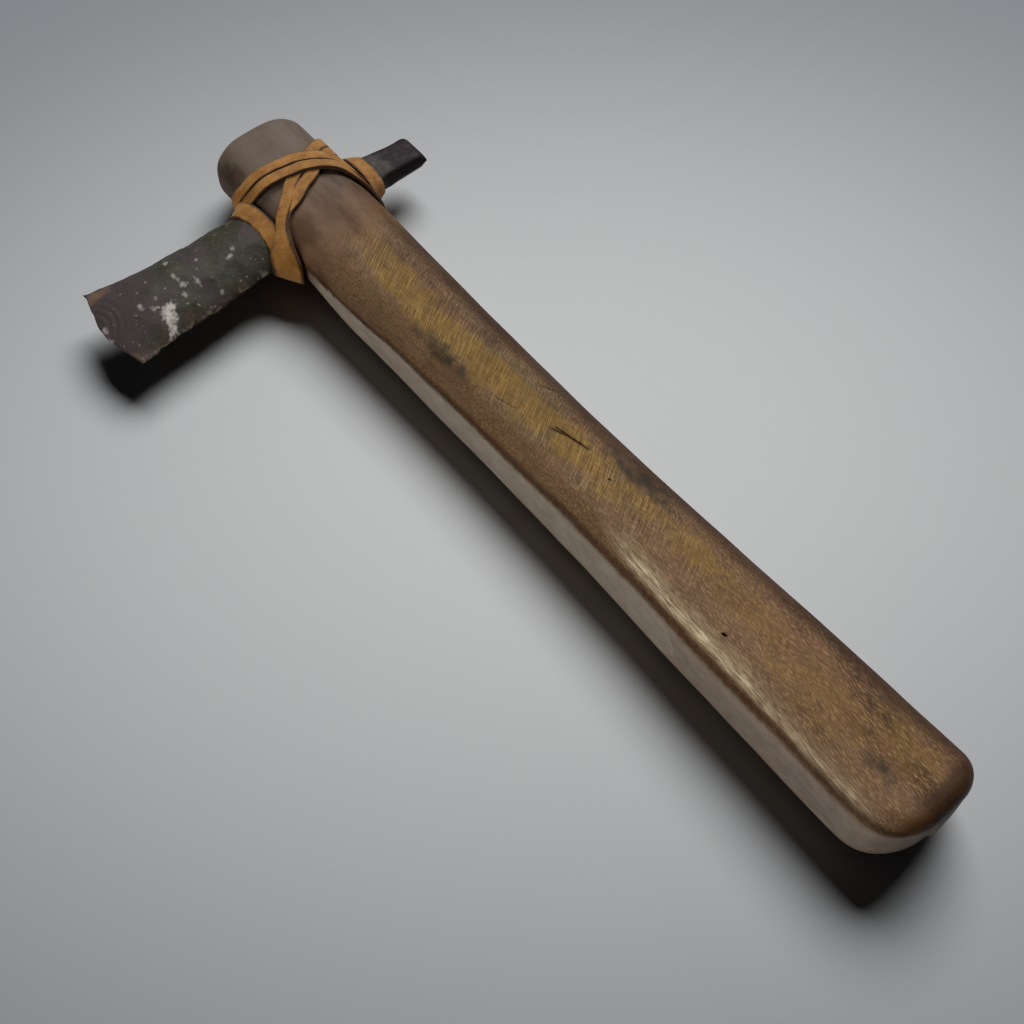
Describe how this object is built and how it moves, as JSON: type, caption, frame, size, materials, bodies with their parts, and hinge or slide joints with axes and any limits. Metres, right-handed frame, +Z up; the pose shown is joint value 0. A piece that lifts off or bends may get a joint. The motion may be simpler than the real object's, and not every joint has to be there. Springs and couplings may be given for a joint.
{
  "type": "hafted stone axe",
  "caption": "Ground and flaked stone blade set through the head of a straight wooden handle and bound with crossed turns of flat leather lacing.",
  "frame": {"origin": "middle of the object's box, on the plane it lies on", "axes": "+X along the handle to its butt, the cutting edge points to -Y, +Z up as it lies"},
  "size_m": [0.342, 0.1352, 0.0307],
  "materials": {
    "handle_wood": "hand-worn, oiled, dark-stained",
    "blade_stone": "flaked and part ground, dark green-grey with pale specks",
    "lacing_leather": "matt tan leather with dark cut edges"
  },
  "bodies": {
    "root": {"wooden_handle": "handle_wood", "stone_blade": "blade_stone", "leather_lacing": "lacing_leather"}
  },
  "joints": []
}
